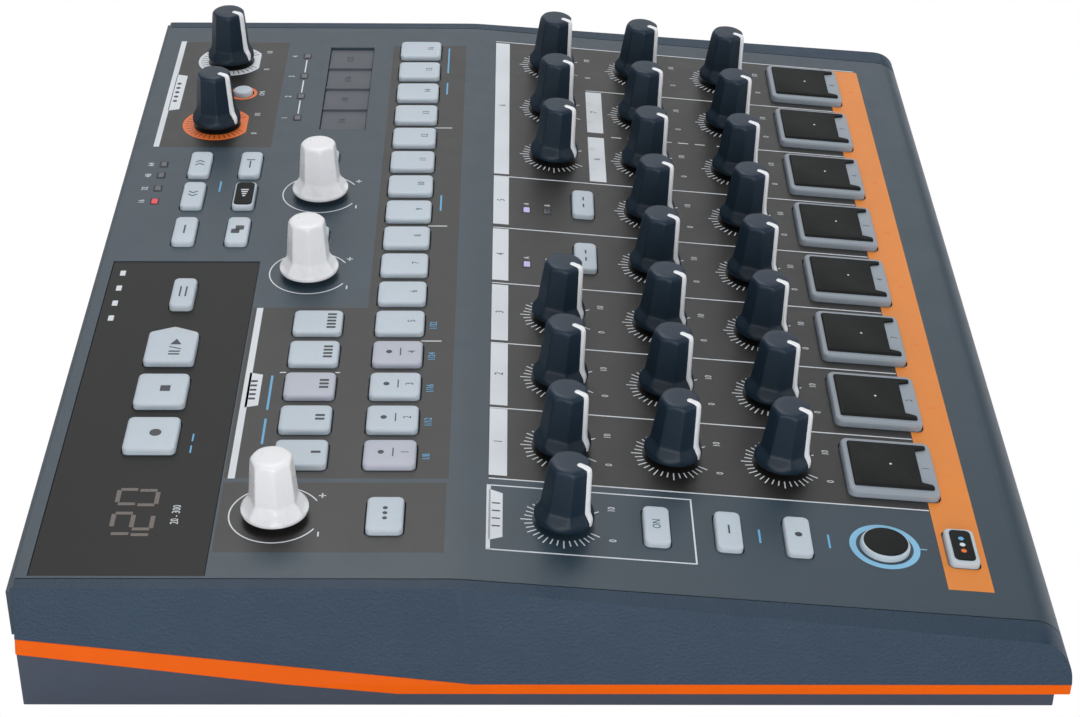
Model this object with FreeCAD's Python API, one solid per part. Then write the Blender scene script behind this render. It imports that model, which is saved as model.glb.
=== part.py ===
import FreeCAD, Part
import math
import os

os.makedirs("parts", exist_ok=True)

V = FreeCAD.Vector

# Driving dimensions, in millimetres.
# X runs to the player's right, Y to the rear, Z up, and the feet stand on Z = 0.
overall_width = 316.0
overall_depth = 245.0
foot_height = 4.0
case_height = 31.0
wall = 2.2
front_edge_height = 18.2
bend_radius = 60.0
nose_radius = 8.5
top_edge_inset = 7.8
seam_inset = 11.8
seam_gap = 0.3
rear_lip = 1.6
lip_chamfer = 1.0
lip_height = 13.6
lip_side_inset = 8.0

# The panel's layout: every place on it is measured from the middle of a panel of this size,
# and moves in or out with the case.
sloping_depth = 142.5
flat_depth = 102.5
channel_margin = 36.0

# The coloured band between the upper shells and the tray.
band_front_height = 9.3
band_rear_rise = 10.2
band_bend_y = 16.0
band_front_thickness = 3.0
band_rear_thickness = 3.6
band_lower_bend_y = 34.0
band_depth = 6.0

# The bottom tray.
tray_side_inset = 3.3
tray_front_inset = 2.7
tray_floor = 2.0
tray_wall = 2.0

# Running and fitting clearances.
key_clearance = 0.3
shaft_clearance = 0.4
pivot_clearance = 0.05
part_gap = 0.3

# Boards, seen from the panel's upper face downwards.
board_depth = 9.0
board_thickness = 1.6
board_side_inset = 16.0
board_edge_gap = 5.0

# Grid of the instrument channels on the sloping half.
channel_count = 8
channel_pitch = 30.5
first_channel_x = -91.0
knob_row_y = (-5.2, -32.9, -60.6)
metronome_x = -121.7

# Turning knobs.
knob_sides = 7
knob_height = 18.0
knob_lift = 1.5
knob_top_radius = 5.2
knob_foot_radius = 6.1
knob_skirt_radius = 7.3
knob_skirt_height = 2.6
encoder_height = 17.2
encoder_skirt_radius = 8.1
knob_rim = 0.9
knob_waist_radius = 5.25
knob_turn_deg = 30.0
knob_edge_round = 0.4
shaft_radius = 3.0
shaft_depth = 4.2
pot_width = 9.6
pot_length = 10.6
pot_top_gap = 0.5
rear_knob_y = 98.3
distortion_x = 77.4
volume_x = 121.3
encoder_y = 63.4
encoder_xs = (-122.0, -11.0, 33.7)

# Push keys.
key_rise = 1.5
key_corner = 1.6
key_edge_round = 0.5
key_flange = 0.8
key_flange_thickness = 1.0
key_flange_gap = 0.2
key_stem = 2.4
step_count = 16
step_pitch = 15.08
first_step_x = -98.35
step_y = 37.2
step_gap = 3.88
step_length = 13.1
mode_count = 5
mode_y = 59.1
bar_key_gap = 4.0
bar_key_length = 6.4
edit_upper_y = 100.4
edit_lower_y = 85.4
edit_xs = (10.45, 31.1, 49.8)
transport_y = 96.8
transport_gap = 5.3
transport_depth = 13.2
record_x = -90.2
stop_x = -70.5
play_x = -50.7
play_point = 2.8
play_corner = 1.2
sync_x = -23.3
tap_x = -123.2
tap_width = 13.6
tap_length = 8.9
track_y = 62.4
track_xs = (10.0, 55.8)
track_size = 6.0
output_key_x = 98.3
output_key_y = 92.3
output_key_radius = 3.0
type_key_y = -13.4
type_channels = (3, 4)
type_key_shift = 1.0
function_x = -121.7
function_ys = (-27.5, -44.8, -61.6)
shift_x = -122.2
shift_y = -82.7
shift_radius = 5.4
color_x = -121.4
color_y = -101.4
color_width = 13.9
color_length = 7.4

# Velocity pads.
pad_y = -87.8
pad_width = 23.0
pad_rise = 1.9
pad_corner = 2.0
pad_top_width = 18.6
pad_top_length = 20.2
pad_top_rise = 0.7

# Inset display panel and touch strip.
window_margin = 0.95
window_right = -5.0
window_front = 77.8
window_rear = 118.2
window_thickness = 1.2
window_sink = 0.2
window_gap = 0.15
display_x = -121.6
display_y = 97.0
display_width = 26.0
display_length = 15.0
display_height = 6.5
display_gap = 0.4
strip_left = 74.1
strip_right = 131.5
strip_front = 52.6
strip_rear = 66.7
strip_depth = 1.4
strip_thickness = 0.6
strip_segments = 4
strip_ridge = 0.5

# Rear connector bay.
bay_margin = 11.0
bay_bottom = 6.8
bay_top = 24.2
panel_plate = 1.4
socket_z = 15.4
jack_radius = 3.2
jack_length = 20.0
jack_collar = 2.2
jack_nose = 1.5
jack_xs = (-116.0, -94.0)
mini_radius = 1.8
mini_length = 12.0
mini_collar = 1.6
mini_nose = 1.2
mini_xs = (-74.0, -60.0, -46.0, -32.0, -12.0, 2.0)
din_xs = (26.0, 50.0)
din_radius = 6.6
din_depth = 8.0
din_collar = 1.0
usb_x = 74.0
usb_width = 8.5
usb_height = 7.8
usb_depth = 9.0
usb_collar = 1.0
flat_nose = 0.6
socket_back = 2.0
power_x = 96.0
power_radius = 3.0
power_collar = 1.6
power_nose = 0.8
power_pin_radius = 1.0
power_depth = 9.0
switch_x = 116.0
switch_width = 10.0
switch_height = 8.0
switch_rise = 2.2
switch_depth = 4.0
switch_collar = 1.0
switch_stop = 2.0

# Feet and screws.
foot_radius = 7.0
foot_side_inset = 26.0
foot_end_inset = 24.5
foot_chamfer = 0.8
screw_inset = 10.2
boss_radius = 3.4
screw_radius = 1.5
screw_head_radius = 2.8
screw_head = 1.6
screw_grip = 8.0
screw_slot = 1.0

# Values worked out from the dimensions above.
half_width = overall_width / 2
front_y = -overall_depth / 2
rear_y = overall_depth / 2
cheek_rear_y = rear_y - rear_lip
top_z = foot_height + case_height
layout_width = channel_count * channel_pitch + 2 * channel_margin
layout_depth = sloping_depth + flat_depth
bend_y = front_y + overall_depth * sloping_depth / layout_depth
slope = math.atan2(case_height - front_edge_height, bend_y - front_y)
band_z = foot_height + band_front_height
band_under_z = band_z - band_front_thickness
seam_x = half_width - seam_inset
tray_half = half_width - tray_side_inset
tray_front = front_y + tray_front_inset
lip_z = top_z - lip_height
panel_plate_y = cheek_rear_y - tray_wall - panel_plate
encoder_names = ("rate", "swing", "random")
foot_x = half_width - foot_side_inset
foot_y = rear_y - foot_end_inset
screw_x = half_width - screw_inset
screw_ys = (-foot_y, 0.0, foot_y)


def across(x):
    """Place across the case of a point of the panel's layout."""
    return x * overall_width / layout_width


def along(y):
    """Place along the case of a point of the panel's layout."""
    return y * overall_depth / layout_depth


step_width = across(step_pitch) - step_gap
bar_key_width = across(edit_xs[2] - edit_xs[1]) - bar_key_gap
transport_key = across(stop_x - record_x) - transport_gap
bay_half_width = across(switch_x) + switch_width / 2 + bay_margin
window_x0 = -seam_x + window_margin
window_x1 = across(window_right)
window_y0 = along(window_front)
window_y1 = along(window_rear)
strip_x0 = across(strip_left)
strip_x1 = across(strip_right)
strip_y0 = along(strip_front)
strip_y1 = along(strip_rear)


def panel_z(y):
    """Height of the panel's upper face at a given depth."""
    if y >= bend_y:
        return top_z
    return top_z - (bend_y - y) * math.tan(slope)


def on_panel(shape, x, y):
    """Move a shape, built round the origin, onto the panel at x, y."""
    tilt = 0.0 if y >= bend_y else math.degrees(slope)
    place = FreeCAD.Placement(V(x, y, panel_z(y)), FreeCAD.Rotation(V(1, 0, 0), tilt))
    moved = shape.copy()
    moved.Placement = place.multiply(shape.Placement)
    return moved


def on_layout(shape, x, y):
    """Move a shape, built round the origin, to its place in the panel's layout."""
    return on_panel(shape, across(x), along(y))


def box(x0, x1, y0, y1, z0, z1):
    return Part.makeBox(x1 - x0, y1 - y0, z1 - z0, V(x0, y0, z0))


def prism(points, x0, x1):
    """Extrude a closed outline of (y, z) points from x0 to x1; a third number rounds its corner."""
    ends = []
    count = len(points)
    for i, point in enumerate(points):
        corner = V(x0, point[0], point[1])
        if len(point) == 2:
            ends.append((corner, None, corner))
            continue
        before = V(x0, *points[i - 1][:2]) - corner
        after = V(x0, *points[(i + 1) % count][:2]) - corner
        half_angle = before.getAngle(after) / 2
        before.normalize()
        after.normalize()
        reach = point[2] / math.tan(half_angle)
        inward = (before + after).normalize()
        middle = corner + inward * (point[2] / math.sin(half_angle) - point[2])
        ends.append((corner + before * reach, middle, corner + after * reach))
    edges = []
    for i, (start, middle, end) in enumerate(ends):
        if middle is not None:
            edges.append(Part.Arc(start, middle, end).toShape())
        edges.append(Part.LineSegment(end, ends[(i + 1) % count][0]).toShape())
    return Part.Face(Part.Wire(edges)).extrude(V(x1 - x0, 0, 0))


def rounded_block(width, length, z0, z1, corner):
    """Upright block with rounded corners, centred on the Z axis."""
    block = box(-width / 2, width / 2, -length / 2, length / 2, z0, z1)
    upright = [e for e in block.Edges if abs(e.BoundBox.ZLength) > (z1 - z0) / 2]
    return block.makeFillet(corner, upright)


def edges_at_height(shape, z):
    return [e for e in shape.Edges if abs(e.BoundBox.ZMin - z) < 1e-6 and abs(e.BoundBox.ZMax - z) < 1e-6]


def cylinder_y(radius, x, z, y0, y1):
    return Part.makeCylinder(radius, y1 - y0, V(x, y0, z), V(0, 1, 0))


def save(name, shapes):
    shapes = shapes if isinstance(shapes, list) else [shapes]
    result = shapes[0] if len(shapes) == 1 else Part.makeCompound(shapes)
    assert result.isValid(), name
    result.exportStep("parts/" + name + ".step")


# Upper shells

def band_top(y):
    """Height of the band's upper edge along the side."""
    if y <= band_bend_y:
        return band_z
    return band_z + band_rear_rise * (y - band_bend_y) / (cheek_rear_y - band_bend_y)


def band_bottom(y):
    """Height of the band's lower edge along the side."""
    if y <= band_lower_bend_y:
        return band_under_z
    rear = band_top(cheek_rear_y) - band_rear_thickness
    return band_under_z + (rear - band_under_z) * (y - band_lower_bend_y) / (cheek_rear_y - band_lower_bend_y)


def upper_prism(inset, rear, x0, x1, drop):
    """Side profile of the upper case, drawn in by inset, with its floor lowered by drop."""
    bend = bend_y + inset * (1 / math.cos(slope) - 1) / math.tan(slope)
    front = front_y + inset
    nose = panel_z(front) - inset / math.cos(slope)
    points = [
        (rear, band_top(rear) - drop),
        (rear, top_z - inset),
        (bend, top_z - inset, bend_radius - inset),
        (front, nose, nose_radius - inset),
        (front, band_z - drop),
        (band_bend_y, band_z - drop),
    ]
    return prism(points, x0, x1)


def side_envelope(inset):
    """Outer limit of the case across its width, leaning in above the band."""
    side = half_width - inset
    shoulder = half_width - top_edge_inset - inset
    outline = [
        V(-side, front_y, 0), V(-side, front_y, band_z), V(-shoulder, front_y, top_z),
        V(shoulder, front_y, top_z), V(side, front_y, band_z), V(side, front_y, 0),
    ]
    face = Part.Face(Part.makePolygon(outline + outline[:1]))
    return face.extrude(V(0, overall_depth, 0))


def make_cheek(sign):
    x0 = seam_x + seam_gap
    outer = upper_prism(0.0, cheek_rear_y, x0, half_width, 0.0).common(side_envelope(0.0))
    pocket = upper_prism(wall, cheek_rear_y - wall, x0 - 1, half_width, top_z).common(side_envelope(wall))
    cheek = outer.cut(pocket)
    for y in screw_ys:
        top = panel_z(y) - wall / 2
        post = Part.makeCylinder(boss_radius, top - band_top(y), V(screw_x, y, band_top(y)))
        post = post.common(side_envelope(wall / 2)).common(box(x0, half_width, front_y, rear_y, 0, top_z))
        bore = Part.makeCylinder(screw_radius, screw_grip, V(screw_x, y, band_top(y)))
        cheek = cheek.fuse(post).cut(bore)
    cheek = cheek.removeSplitter()
    return cheek if sign > 0 else cheek.mirror(V(0, 0, 0), V(1, 0, 0))


# Keys, knobs and pads, each built round the origin with Z = 0 on the panel's upper face

def key_blank(width, length, corner, rise=key_rise):
    """Rounded key cap with a flange below the panel and a stem under it."""
    flange_top = -wall - key_flange_gap
    cap = rounded_block(width, length, flange_top, rise, corner)
    cap = cap.makeFillet(key_edge_round, edges_at_height(cap, rise))
    flange_under = flange_top - key_flange_thickness
    flange = rounded_block(width + 2 * key_flange, length + 2 * key_flange, flange_under, flange_top, corner)
    stem = rounded_block(width / 2, length / 2, flange_under - key_stem, flange_top, corner / 2)
    return cap.fuse([flange, stem]).removeSplitter()


def round_key(radius, rise=key_rise):
    flange_top = -wall - key_flange_gap
    cap = Part.makeCylinder(radius, rise - flange_top, V(0, 0, flange_top))
    cap = cap.makeFillet(key_edge_round, edges_at_height(cap, rise)[:1])
    flange_under = flange_top - key_flange_thickness
    flange = Part.makeCylinder(radius + key_flange, key_flange_thickness, V(0, 0, flange_under))
    stem_height = key_flange_thickness + key_stem
    stem = Part.makeCylinder(radius / 2, stem_height, V(0, 0, flange_top - stem_height))
    return cap.fuse([flange, stem]).removeSplitter()


def play_outline(width, length, grow):
    """Five-sided outline whose point looks to the right."""
    half = length / 2 + grow
    left = -width / 2 - grow
    shoulder = width / 2 - play_point + grow / 2
    tip = width / 2 + grow
    return [V(left, -half, 0), V(shoulder, -half, 0), V(tip, 0, 0), V(shoulder, half, 0), V(left, half, 0)]


def play_block(grow, z0, z1):
    ring = [p + V(0, 0, z0) for p in play_outline(transport_key + play_point, transport_depth, grow)]
    block = Part.Face(Part.makePolygon(ring + ring[:1])).extrude(V(0, 0, z1 - z0))
    upright = [e for e in block.Edges if e.BoundBox.ZLength > (z1 - z0) / 2]
    return block.makeFillet(play_corner, upright)


def play_key():
    flange_top = -wall - key_flange_gap
    cap = play_block(0.0, flange_top, key_rise)
    cap = cap.makeFillet(key_edge_round, edges_at_height(cap, key_rise))
    flange_under = flange_top - key_flange_thickness
    flange = play_block(key_flange, flange_under, flange_top)
    stem = rounded_block(
        transport_key / 2, transport_depth / 2, flange_under - key_stem, flange_top, key_corner / 2)
    return cap.fuse([flange, stem]).removeSplitter()


def polygon_ring(radius, z, phase):
    step = 2 * math.pi / knob_sides
    angles = [phase + i * step for i in range(knob_sides)]
    return [V(radius * math.cos(a), radius * math.sin(a), z) for a in angles]


def make_knob(height, skirt_radius):
    """Faceted knob on a flared skirt, with the shaft that turns inside the control."""
    phase = -math.pi / 2 - math.radians(knob_turn_deg)
    foot = polygon_ring(knob_foot_radius, knob_lift + knob_skirt_height / 2, phase)
    head = polygon_ring(knob_top_radius, height, phase)
    rings = [Part.makePolygon(ring + ring[:1]) for ring in (foot, head)]
    body = Part.makeLoft(rings, True, True)
    body = body.makeFillet(knob_edge_round, edges_at_height(body, height))
    outline = [
        V(0, 0, knob_lift), V(skirt_radius, 0, knob_lift), V(skirt_radius, 0, knob_lift + knob_rim),
        V(knob_waist_radius, 0, knob_lift + knob_skirt_height), V(0, 0, knob_lift + knob_skirt_height),
    ]
    skirt = Part.Face(Part.makePolygon(outline + outline[:1])).revolve(V(0, 0, 0), V(0, 0, 1), 360)
    shaft = Part.makeCylinder(shaft_radius, knob_lift + shaft_depth + 1, V(0, 0, -shaft_depth))
    return body.fuse([skirt, shaft]).removeSplitter()


def make_pad():
    flange_top = -wall - key_flange_gap
    frame = rounded_block(pad_width, pad_width, flange_top, pad_rise, pad_corner)
    frame = frame.makeFillet(key_edge_round, edges_at_height(frame, pad_rise))
    top = rounded_block(pad_top_width, pad_top_length, 0.0, pad_rise + pad_top_rise, pad_corner / 2)
    flange_under = flange_top - key_flange_thickness
    flange_width = pad_width + 2 * key_flange
    flange = rounded_block(flange_width, flange_width, flange_under, flange_top, pad_corner)
    foot = rounded_block(pad_width / 2, pad_width / 2, flange_under - key_stem, flange_top, pad_corner)
    return frame.fuse([top, flange, foot]).removeSplitter()


def channel_x(index):
    return first_channel_x + channel_pitch * index


# Every knob: name, place, height and skirt

def knob_list():
    names = ("kick", "snare_1", "snare_2", "tom", "cymbal", "closed_hat", "open_hat", "fm")
    knobs = [("metronome_volume_knob", metronome_x, knob_row_y[0])]
    for index, name in enumerate(names):
        if index not in type_channels:
            knobs.append((name + "_shape_knob", channel_x(index), knob_row_y[0]))
        knobs.append((name + "_tone_knob", channel_x(index), knob_row_y[1]))
        knobs.append((name + "_level_knob", channel_x(index), knob_row_y[2]))
    knobs.append(("distortion_knob", distortion_x, rear_knob_y))
    knobs.append(("master_volume_knob", volume_x, rear_knob_y))
    return knobs


def encoder_list():
    return [(name + "_encoder_knob", x, encoder_y) for name, x in zip(encoder_names, encoder_xs)]


# Every key: group, x, y, width, length, or a radius alone for a round one

def key_groups():
    step_xs = [first_step_x + step_pitch * i for i in range(step_count)]
    half = step_count // 2
    steps = [("block", x, step_y, step_width, step_length) for x in step_xs]
    modes = [("block", x, mode_y, step_width, step_length) for x in step_xs[:mode_count]]
    transport = [
        ("block", record_x, transport_y, transport_key, transport_depth),
        ("block", stop_x, transport_y, transport_key, transport_depth),
        ("play", play_x + play_point / 2, transport_y, transport_key, transport_depth),
        ("block", sync_x, transport_y, bar_key_width, bar_key_length),
    ]
    edit_ys = (edit_upper_y, edit_lower_y)
    edit = [("block", x, y, bar_key_width, bar_key_length) for y in edit_ys for x in edit_xs]
    tap = [("block", tap_x, step_y, tap_width, tap_length)]
    tap += [("block", x, track_y, track_size, track_size) for x in track_xs]
    tap.append(("round", output_key_x, output_key_y, output_key_radius, 0.0))
    type_xs = [channel_x(i) + type_key_shift for i in type_channels]
    types = [("block", x, type_key_y, bar_key_width, bar_key_length) for x in type_xs]
    functions = [("block", function_x, y, bar_key_width, bar_key_length) for y in function_ys]
    return {
        "step_keys_1_8": steps[:half],
        "step_keys_9_16": steps[half:],
        "mode_keys": modes,
        "transport_keys": transport,
        "edit_keys": edit,
        "tap_and_track_keys": tap,
        "type_keys": types,
        "function_keys": functions,
        "shift_key": [("round", shift_x, shift_y, shift_radius, 0.0)],
        "color_key": [("block", color_x, color_y, color_width, color_length)],
    }


def build_key(kind, width, length):
    if kind == "round":
        return round_key(width)
    if kind == "play":
        return play_key()
    return key_blank(width, length, min(key_corner, width / 4, length / 4))


def key_cutter(kind, width, length):
    low, high = -wall * 2, key_rise
    if kind == "round":
        return Part.makeCylinder(width + key_clearance, high - low, V(0, 0, low))
    if kind == "play":
        return play_block(key_clearance, low, high)
    return rounded_block(width + 2 * key_clearance, length + 2 * key_clearance, low, high, key_corner)


def all_keys():
    return [key for group in key_groups().values() for key in group]


def in_window(x):
    return window_x0 < across(x) < window_x1


# Moving pieces

for name, x, y in knob_list():
    save(name, on_layout(make_knob(knob_height, knob_skirt_radius), x, y))
for name, x, y in encoder_list():
    save(name, on_layout(make_knob(encoder_height, encoder_skirt_radius), x, y))
for index in range(channel_count):
    save("pad_%d" % (index + 1), on_layout(make_pad(), channel_x(index), pad_y))
for name, keys in key_groups().items():
    save(name, [on_layout(build_key(kind, w, l), x, y) for kind, x, y, w, l in keys])

# Casing

casing = upper_prism(0.0, cheek_rear_y, -seam_x, seam_x, 0.0)
casing = casing.cut(upper_prism(wall, cheek_rear_y + 1, -seam_x - 1, seam_x + 1, top_z))
lip_half = half_width - lip_side_inset
rear_wall = box(-lip_half, lip_half, cheek_rear_y, rear_y, lip_z, top_z - lip_chamfer)
rear_step = box(-lip_half, lip_half, cheek_rear_y, rear_y - lip_chamfer, lip_z, top_z)
casing = casing.fuse(rear_wall.fuse(rear_step))
inner_wall = box(-seam_x, seam_x, cheek_rear_y - tray_wall, cheek_rear_y, lip_z, top_z)
casing = casing.fuse(inner_wall).removeSplitter()
bay = box(-bay_half_width, bay_half_width, panel_plate_y - 1, rear_y + 1, bay_bottom, bay_top)
recess = box(
    window_x0 - window_gap, window_x1 + window_gap, window_y0 - window_gap, window_y1 + window_gap,
    top_z - window_thickness - window_sink, top_z + 1)
strip_recess = box(strip_x0, strip_x1, strip_y0, strip_y1, top_z - strip_depth, top_z + 1)


def display_block(grow, z0, z1):
    """Block of the display's outline, grown on every side."""
    x = across(display_x)
    y = along(display_y)
    half_x = display_width / 2 + grow
    half_y = display_length / 2 + grow
    return box(x - half_x, x + half_x, y - half_y, y + half_y, z0, z1)


display_hole = display_block(display_gap, top_z - 2 * wall, top_z)
cutters = [bay, recess, strip_recess, display_hole]
shaft_hole = Part.makeCylinder(shaft_radius + shaft_clearance, 3 * wall, V(0, 0, -2 * wall))
cutters += [on_layout(shaft_hole, x, y) for _, x, y in knob_list() + encoder_list()]
cutters += [on_layout(key_cutter(kind, w, l), x, y) for kind, x, y, w, l in all_keys()]
hole_width = pad_width + 2 * key_clearance
pad_hole = rounded_block(hole_width, hole_width, -2 * wall, pad_rise, pad_corner)
cutters += [on_layout(pad_hole, channel_x(i), pad_y) for i in range(channel_count)]
casing = casing.cut(cutters)
save("top_casing", casing)
save("left_cheek", make_cheek(-1))
save("right_cheek", make_cheek(1))

# Display window and touch strip

window_top = top_z - window_sink
window = box(window_x0, window_x1, window_y0, window_y1, window_top - window_thickness, window_top)
window_keys = [key for key in all_keys() if in_window(key[1]) and key[2] > window_front]
window = window.cut([on_layout(key_cutter(kind, w, l), x, y) for kind, x, y, w, l in window_keys])
save("display_window", window)

strip_base = top_z - strip_depth
ridge_top = strip_base + 2 * strip_thickness
strip_low = strip_y0 + window_gap
strip_high = strip_y1 - window_gap
strip = box(strip_x0 + window_gap, strip_x1 - window_gap, strip_low, strip_high,
            strip_base, strip_base + strip_thickness)
segment = (strip_x1 - strip_x0) / strip_segments
for index in range(1, strip_segments):
    x = strip_x0 + segment * index
    strip = strip.fuse(box(x - strip_ridge, x + strip_ridge, strip_low, strip_high, strip_base, ridge_top))
save("touch_strip", strip.removeSplitter())

# Band round the sides and the front

band_points = [
    (front_y, band_z), (band_bend_y, band_z), (cheek_rear_y, band_top(cheek_rear_y)),
    (cheek_rear_y, band_bottom(cheek_rear_y)), (band_lower_bend_y, band_under_z), (front_y, band_under_z),
]
band = prism(band_points, -half_width, half_width).common(side_envelope(0.0))
band_inner = half_width - band_depth
band = band.cut(box(-band_inner, band_inner, front_y + band_depth, rear_y, 0, top_z))
save("trim_band", band)

# Bottom tray

tray_rear = cheek_rear_y


def tray_prism(inset, drop):
    """Side profile of the tray with its rim on the band's lower edge."""
    floor = foot_height + (tray_floor if inset else 0.0)
    points = [
        (tray_front + inset, floor), (tray_rear - inset, floor),
        (tray_rear - inset, band_bottom(tray_rear) + drop),
        (band_lower_bend_y, band_under_z + drop), (tray_front + inset, band_under_z + drop),
    ]
    return prism(points, -tray_half + inset, tray_half - inset)


tray = tray_prism(0.0, 0.0).cut(tray_prism(tray_wall, 1.0))
rear_skirt = box(-lip_half, lip_half, tray_rear - tray_wall, tray_rear, foot_height, lip_z)
tray = tray.fuse(rear_skirt.common(side_envelope(top_edge_inset)))
tray = tray.cut(bay)
screw_places = [(sign * screw_x, y) for sign in (-1, 1) for y in screw_ys]
for x, y in screw_places:
    post = Part.makeCylinder(boss_radius, band_top(y) - foot_height, V(x, y, foot_height))
    tray = tray.fuse(post.common(box(-band_inner, band_inner, front_y, rear_y, 0, top_z)))
for x, y in screw_places:
    head = Part.makeCylinder(screw_head_radius + shaft_clearance, screw_head + part_gap, V(x, y, foot_height))
    shank = Part.makeCylinder(screw_radius + shaft_clearance, top_z, V(x, y, foot_height))
    tray = tray.cut([head, shank])
save("bottom_tray", tray.removeSplitter())

screws = []
for x, y in screw_places:
    head_top = foot_height + part_gap + screw_head
    head = Part.makeCylinder(screw_head_radius, screw_head, V(x, y, foot_height + part_gap))
    length = band_top(y) + screw_grip - pivot_clearance - head_top
    shank = Part.makeCylinder(screw_radius - pivot_clearance, length, V(x, y, head_top))
    slot_top = foot_height + part_gap + screw_slot
    half_slot = screw_head_radius
    slot = box(x - half_slot, x + half_slot, y - part_gap, y + part_gap, foot_height, slot_top)
    screws.append(head.fuse(shank).cut(slot).removeSplitter())
save("case_screws", screws)

feet = []
for sx in (-1, 1):
    for sy in (-1, 1):
        foot = Part.makeCylinder(foot_radius, foot_height, V(sx * foot_x, sy * foot_y, 0))
        feet.append(foot.makeChamfer(foot_chamfer, edges_at_height(foot, 0.0)[:1]))
save("rubber_feet", feet)

# Boards and what is on them

board_half = half_width - board_side_inset
rear_board = box(-board_half, board_half, bend_y + board_edge_gap, panel_plate_y - board_edge_gap,
                 top_z - board_depth - board_thickness, top_z - board_depth)
slope_length = (bend_y - board_edge_gap - (front_y + nose_radius + board_edge_gap)) / math.cos(slope)
front_board = box(-board_half, board_half, -slope_length, 0, -board_depth - board_thickness, -board_depth)
front_board = on_panel(front_board, 0.0, bend_y - board_edge_gap)
display = display_block(0.0, top_z - board_depth, top_z - board_depth + display_height)
save("circuit_boards", [rear_board, front_board, display])

pots = []
for _, x, y in knob_list() + encoder_list():
    low = -board_depth
    high = -wall - pot_top_gap
    pot = box(-pot_width / 2, pot_width / 2, -pot_length / 2, pot_length / 2, low, high)
    bore = Part.makeCylinder(shaft_radius + pivot_clearance, board_depth, V(0, 0, -shaft_depth - part_gap))
    pot = pot.cut(bore)
    pots.append(on_layout(pot, x, y))
save("control_pots", pots)

# Rear connector plate and its sockets

plate = box(-bay_half_width, bay_half_width, panel_plate_y, panel_plate_y + panel_plate, bay_bottom, bay_top)
plate_front = panel_plate_y + panel_plate


def round_socket(x, radius, collar, depth, nose):
    """Body and opening of a round socket that is centred on the plate."""
    back = plate_front - depth - socket_back
    body = cylinder_y(radius + collar, across(x), socket_z, back, plate_front + nose)
    opening = cylinder_y(radius, across(x), socket_z, plate_front - depth, rear_y)
    return body, opening


def block_y(x, width, height, y0, y1):
    """Block that runs along Y, centred on the sockets' height."""
    return box(x - width / 2, x + width / 2, y0, y1, socket_z - height / 2, socket_z + height / 2)


jack_depth = jack_length - socket_back
mini_depth = mini_length - socket_back
socket_list = [round_socket(x, jack_radius, jack_collar, jack_depth, jack_nose) for x in jack_xs]
socket_list += [round_socket(x, mini_radius, mini_collar, mini_depth, mini_nose) for x in mini_xs]
socket_list += [round_socket(x, din_radius, din_collar, din_depth, flat_nose) for x in din_xs]
usb_body = block_y(across(usb_x), usb_width + 2 * usb_collar, usb_height + 2 * usb_collar,
                   plate_front - usb_depth - socket_back, plate_front + flat_nose)
usb_hole = block_y(across(usb_x), usb_width, usb_height, plate_front - usb_depth, rear_y)
socket_list.append((usb_body, usb_hole))
power_body, power_hole = round_socket(power_x, power_radius, power_collar, power_depth, power_nose)
pin_back = plate_front - power_depth - socket_back / 2
power_pin = cylinder_y(power_pin_radius, across(power_x), socket_z, pin_back, plate_front - power_nose)
socket_list.append((power_body, power_hole.cut(power_pin)))
plate = plate.cut([body for body, _ in socket_list])
sockets = [body.cut(opening) for body, opening in socket_list]
save("rear_sockets", sockets)

button_x = across(switch_x)
switch_hole = block_y(button_x, switch_width + 2 * part_gap, switch_height + 2 * part_gap,
                      panel_plate_y - 1, plate_front + 1)
save("rear_panel", plate.cut(switch_hole))
button = block_y(button_x, switch_width, switch_height,
                 panel_plate_y - switch_depth, plate_front + switch_rise)
collar = block_y(button_x, switch_width + 2 * switch_collar, switch_height + 2 * switch_collar,
                 panel_plate_y - switch_stop, panel_plate_y - part_gap)
save("power_button", button.fuse(collar).removeSplitter())
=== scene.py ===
import math

import bmesh
import bpy
from mathutils import Matrix, Vector


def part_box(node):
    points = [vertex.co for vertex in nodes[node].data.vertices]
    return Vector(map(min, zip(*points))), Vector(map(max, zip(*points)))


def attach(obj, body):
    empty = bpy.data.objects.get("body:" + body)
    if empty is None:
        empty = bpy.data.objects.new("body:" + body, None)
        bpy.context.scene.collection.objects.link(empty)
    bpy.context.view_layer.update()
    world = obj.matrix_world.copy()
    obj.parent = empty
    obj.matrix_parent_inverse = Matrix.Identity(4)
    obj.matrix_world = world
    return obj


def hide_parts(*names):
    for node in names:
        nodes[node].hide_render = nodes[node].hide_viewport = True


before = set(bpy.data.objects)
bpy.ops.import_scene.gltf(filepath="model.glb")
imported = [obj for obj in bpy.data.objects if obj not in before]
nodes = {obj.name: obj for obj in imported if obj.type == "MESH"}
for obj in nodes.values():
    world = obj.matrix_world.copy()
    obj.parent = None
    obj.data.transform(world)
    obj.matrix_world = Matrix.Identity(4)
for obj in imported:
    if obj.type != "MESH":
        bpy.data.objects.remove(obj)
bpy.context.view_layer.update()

# Sizes and places in millimetres. Meshes are turned into metres when they are made.
MM = 0.001
case_low, case_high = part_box("top_casing")
PANEL_TOP = case_high.z / MM
FRONT_Y = case_low.y / MM
BEND_Y = 20.0
FRONT_DROP = 12.8
SLOPE = math.atan2(FRONT_DROP, BEND_Y - FRONT_Y)
WINDOW_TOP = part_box("display_window")[1].z / MM
STRIP_FIELD_TOP = 34.19

# Channels and knobs
CHANNEL_PITCH = 30.5
CHANNELS = [-91.0 + CHANNEL_PITCH * i for i in range(8)]
CHANNEL_NAMES = ("kick", "snare_1", "snare_2", "tom", "cymbal", "closed_hat", "open_hat", "fm")
TYPE_CHANNELS = (3, 4)
KNOB_ROWS = (-5.2, -32.9, -60.6)
METRONOME_X = -121.7
DISTORTION_X = 77.4
VOLUME_X = 121.3
REAR_KNOB_Y = 98.3
ENCODER_Y = 63.4
ENCODER_XS = (-122.0, -11.0, 33.7)

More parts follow.
